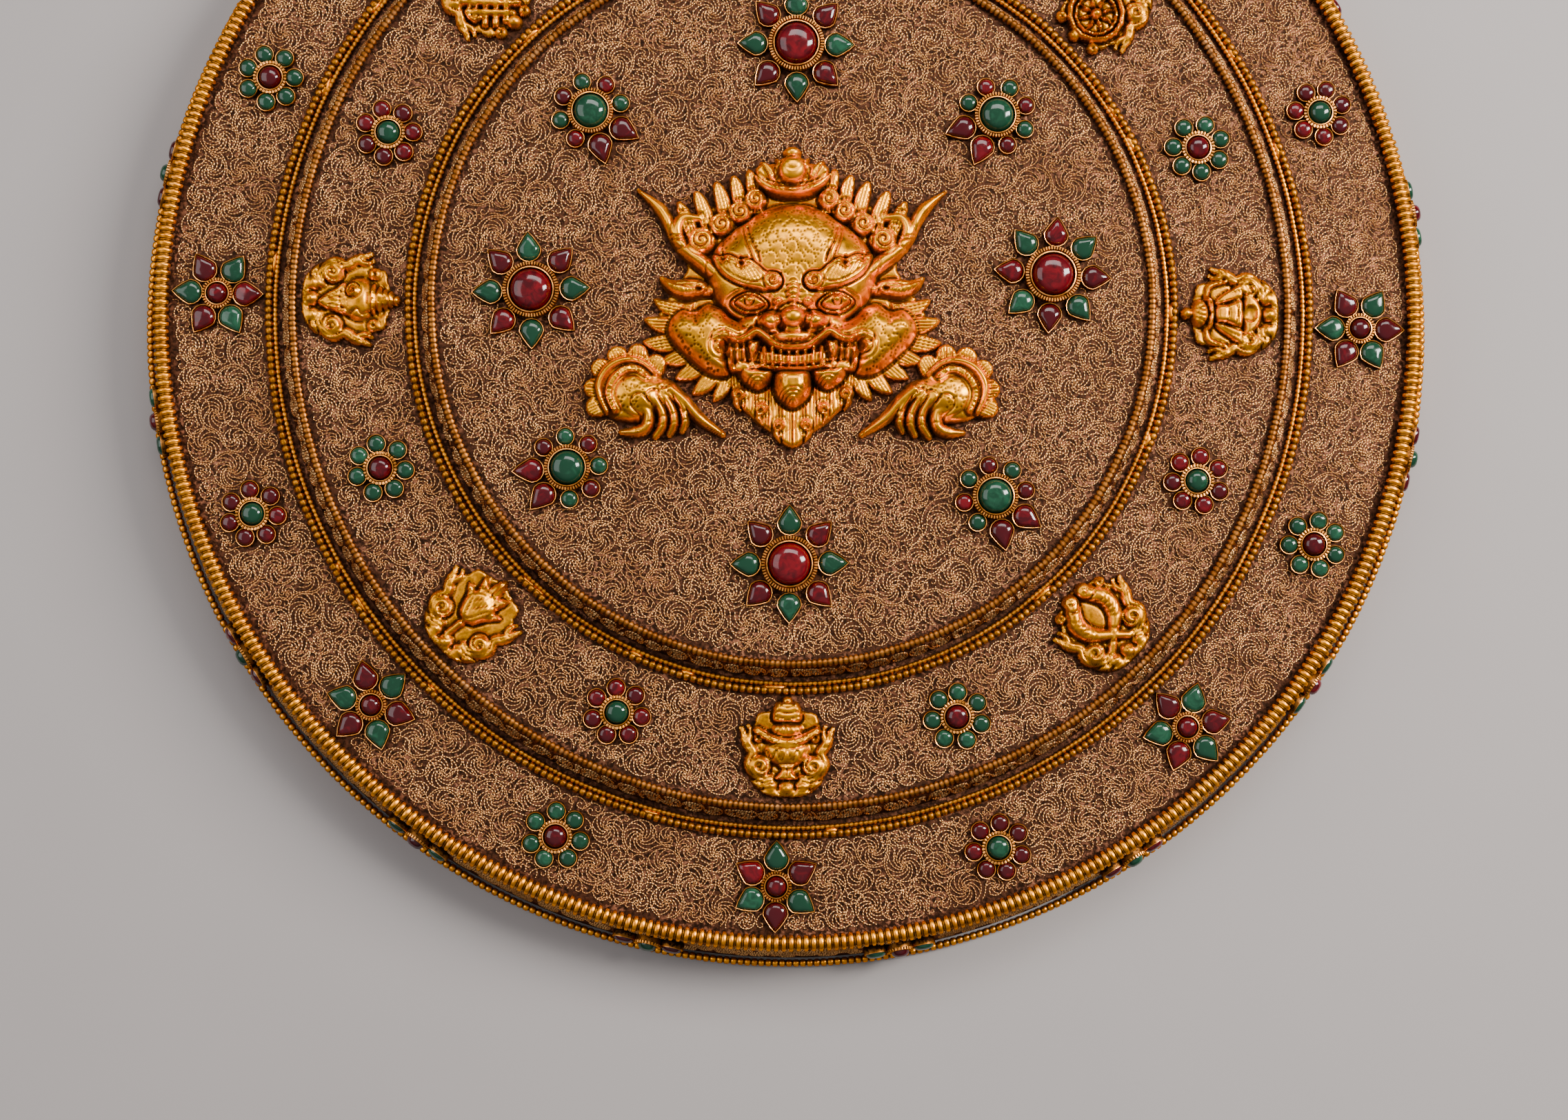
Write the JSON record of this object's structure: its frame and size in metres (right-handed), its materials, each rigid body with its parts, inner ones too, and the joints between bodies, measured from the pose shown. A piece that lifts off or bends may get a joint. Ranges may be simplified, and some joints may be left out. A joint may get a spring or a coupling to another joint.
{
  "type": "round filigree plaque with cheppu mask",
  "caption": "Round three-tier copper filigree plaque with a gilt cheppu mask and hands, auspicious symbols, stone-set flowers and rope mouldings, lying flat.",
  "frame": {"origin": "middle of the flat underside", "axes": "+Z out of the face, +Y from the mask's beard to its crown, +X to the right as the face is seen"},
  "size_m": [0.3748, 0.3748, 0.0469],
  "materials": {
    "dark_copper": "dark matte copper ground covered with worn gilt twisted wire",
    "gilt_rope": "worn gilt twisted and beaded wire",
    "gilt_relief": "fire-gilt repousse, satin with dark recesses",
    "green_stone": "polished deep green cabochon, opaque",
    "red_stone": "polished deep red cabochon, opaque"
  },
  "bodies": {
    "root": {"lower_tier": "dark_copper", "middle_tier": "dark_copper", "upper_tier": "dark_copper", "foot_rope": "gilt_rope", "lower_rim_rope": "gilt_rope", "middle_rim_rope": "gilt_rope", "upper_rim_rope": "gilt_rope", "middle_base_ropes": "gilt_rope", "upper_base_ropes": "gilt_rope", "star_flower_1": "red_stone", "star_flower_2": "red_stone", "star_flower_3": "red_stone", "star_flower_4": "red_stone", "star_flower_5": "red_stone", "star_flower_6": "red_stone", "star_flower_7": "red_stone", "star_flower_8": "red_stone", "big_flower_1": "red_stone", "big_flower_2": "red_stone", "big_flower_3": "red_stone", "big_flower_4": "red_stone", "lower_round_flower_1": "red_stone", "lower_round_flower_2": "green_stone", "lower_round_flower_3": "red_stone", "lower_round_flower_4": "green_stone", "lower_round_flower_5": "red_stone", "lower_round_flower_6": "green_stone", "lower_round_flower_7": "red_stone", "lower_round_flower_8": "green_stone", "middle_round_flower_1": "green_stone", "middle_round_flower_2": "red_stone", "middle_round_flower_3": "green_stone", "middle_round_flower_4": "red_stone", "middle_round_flower_5": "green_stone", "middle_round_flower_6": "red_stone", "middle_round_flower_7": "green_stone", "middle_round_flower_8": "red_stone", "mixed_flower_1": "green_stone", "mixed_flower_2": "green_stone", "mixed_flower_3": "green_stone", "mixed_flower_4": "green_stone", "victory_banner": "gilt_relief", "wheel": "gilt_relief", "parasol": "gilt_relief", "endless_knot": "gilt_relief", "conch_shell": "gilt_relief", "lotus_blossom": "gilt_relief", "treasure_vase": "gilt_relief", "golden_fishes": "gilt_relief", "cheppu_mask": "gilt_relief", "left_hand": "gilt_relief", "right_hand": "gilt_relief"}
  },
  "joints": []
}
